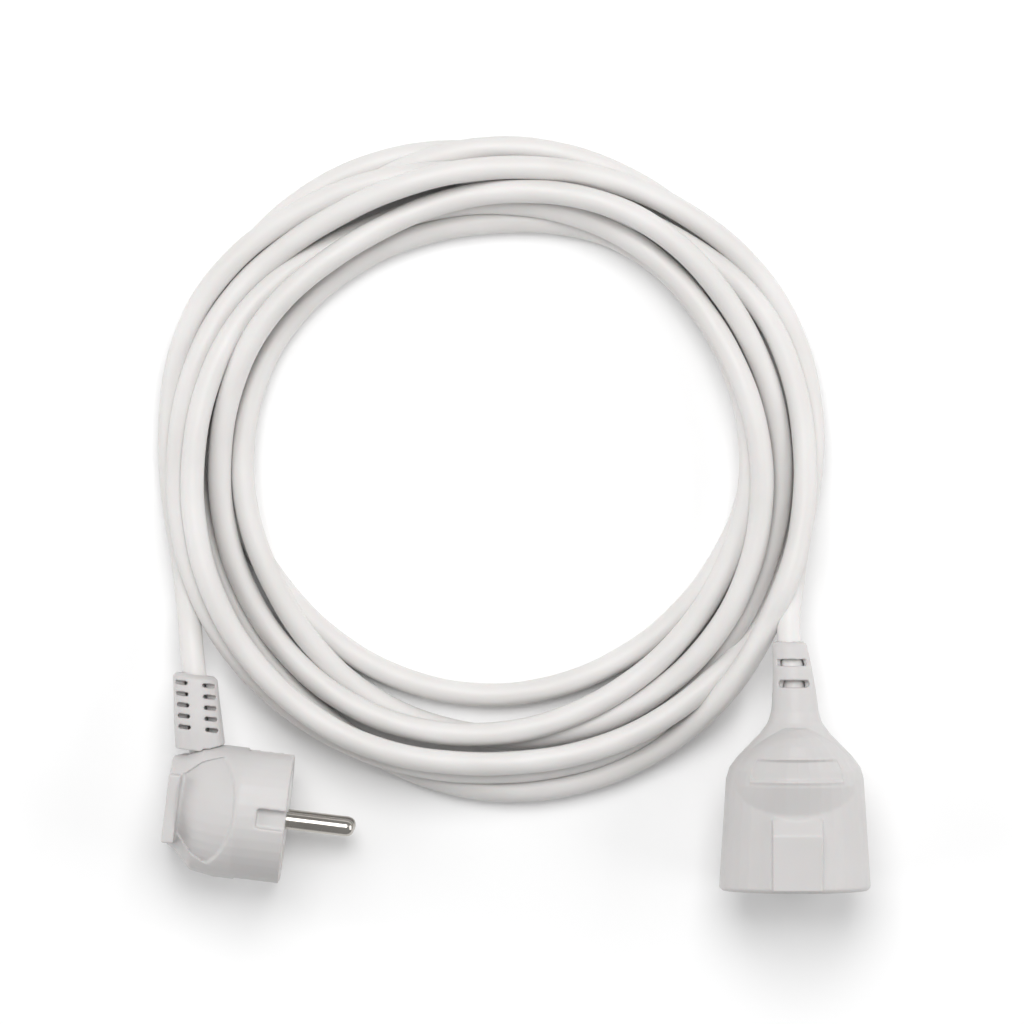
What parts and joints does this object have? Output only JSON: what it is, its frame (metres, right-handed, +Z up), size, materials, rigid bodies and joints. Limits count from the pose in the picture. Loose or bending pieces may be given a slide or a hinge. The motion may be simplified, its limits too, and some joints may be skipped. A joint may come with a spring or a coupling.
{
  "type": "extension cord",
  "caption": "Loosely coiled white household extension cord with an earthed right-angle plug and a round-mouthed earthed socket outlet.",
  "frame": {"origin": "on the resting surface, under the middle of the socket outlet's box", "axes": "+Z up, +Y along the socket outlet from its mouth towards its cord, +X to the right; the coil and the plug lie on the -X side"},
  "size_m": [0.1963, 0.2087, 0.0444],
  "materials": {
    "housing_pvc": "fine satin moulded PVC",
    "cord_pvc": "smooth satin extruded PVC jacket",
    "hard_plastic": "smooth hard white plastic",
    "nickel": "nickel-plated, polished",
    "brass": "stamped and drawn",
    "core_brown": "brown core insulation",
    "core_blue": "light blue core insulation",
    "core_green_yellow": "green core insulation with a yellow stripe"
  },
  "bodies": {
    "root": {"socket_housing": "housing_pvc", "socket_insert": "hard_plastic", "socket_contact_live": "brass", "socket_contact_neutral": "brass", "socket_earth_strip": "nickel", "socket_core_live": "core_brown", "socket_core_neutral": "core_blue", "socket_core_earth": "core_green_yellow", "plug_body": "housing_pvc", "plug_strain_relief": "housing_pvc", "plug_face_bridge": "hard_plastic", "plug_pin_lower": "nickel", "plug_pin_upper": "nickel", "plug_earth_strap": "nickel", "plug_earth_tube": "brass", "plug_core_live": "core_brown", "plug_core_neutral": "core_blue", "plug_core_earth": "core_green_yellow", "cord_coil": "cord_pvc", "cord_socket_lead": "cord_pvc", "cord_plug_lead": "cord_pvc"}
  },
  "joints": []
}
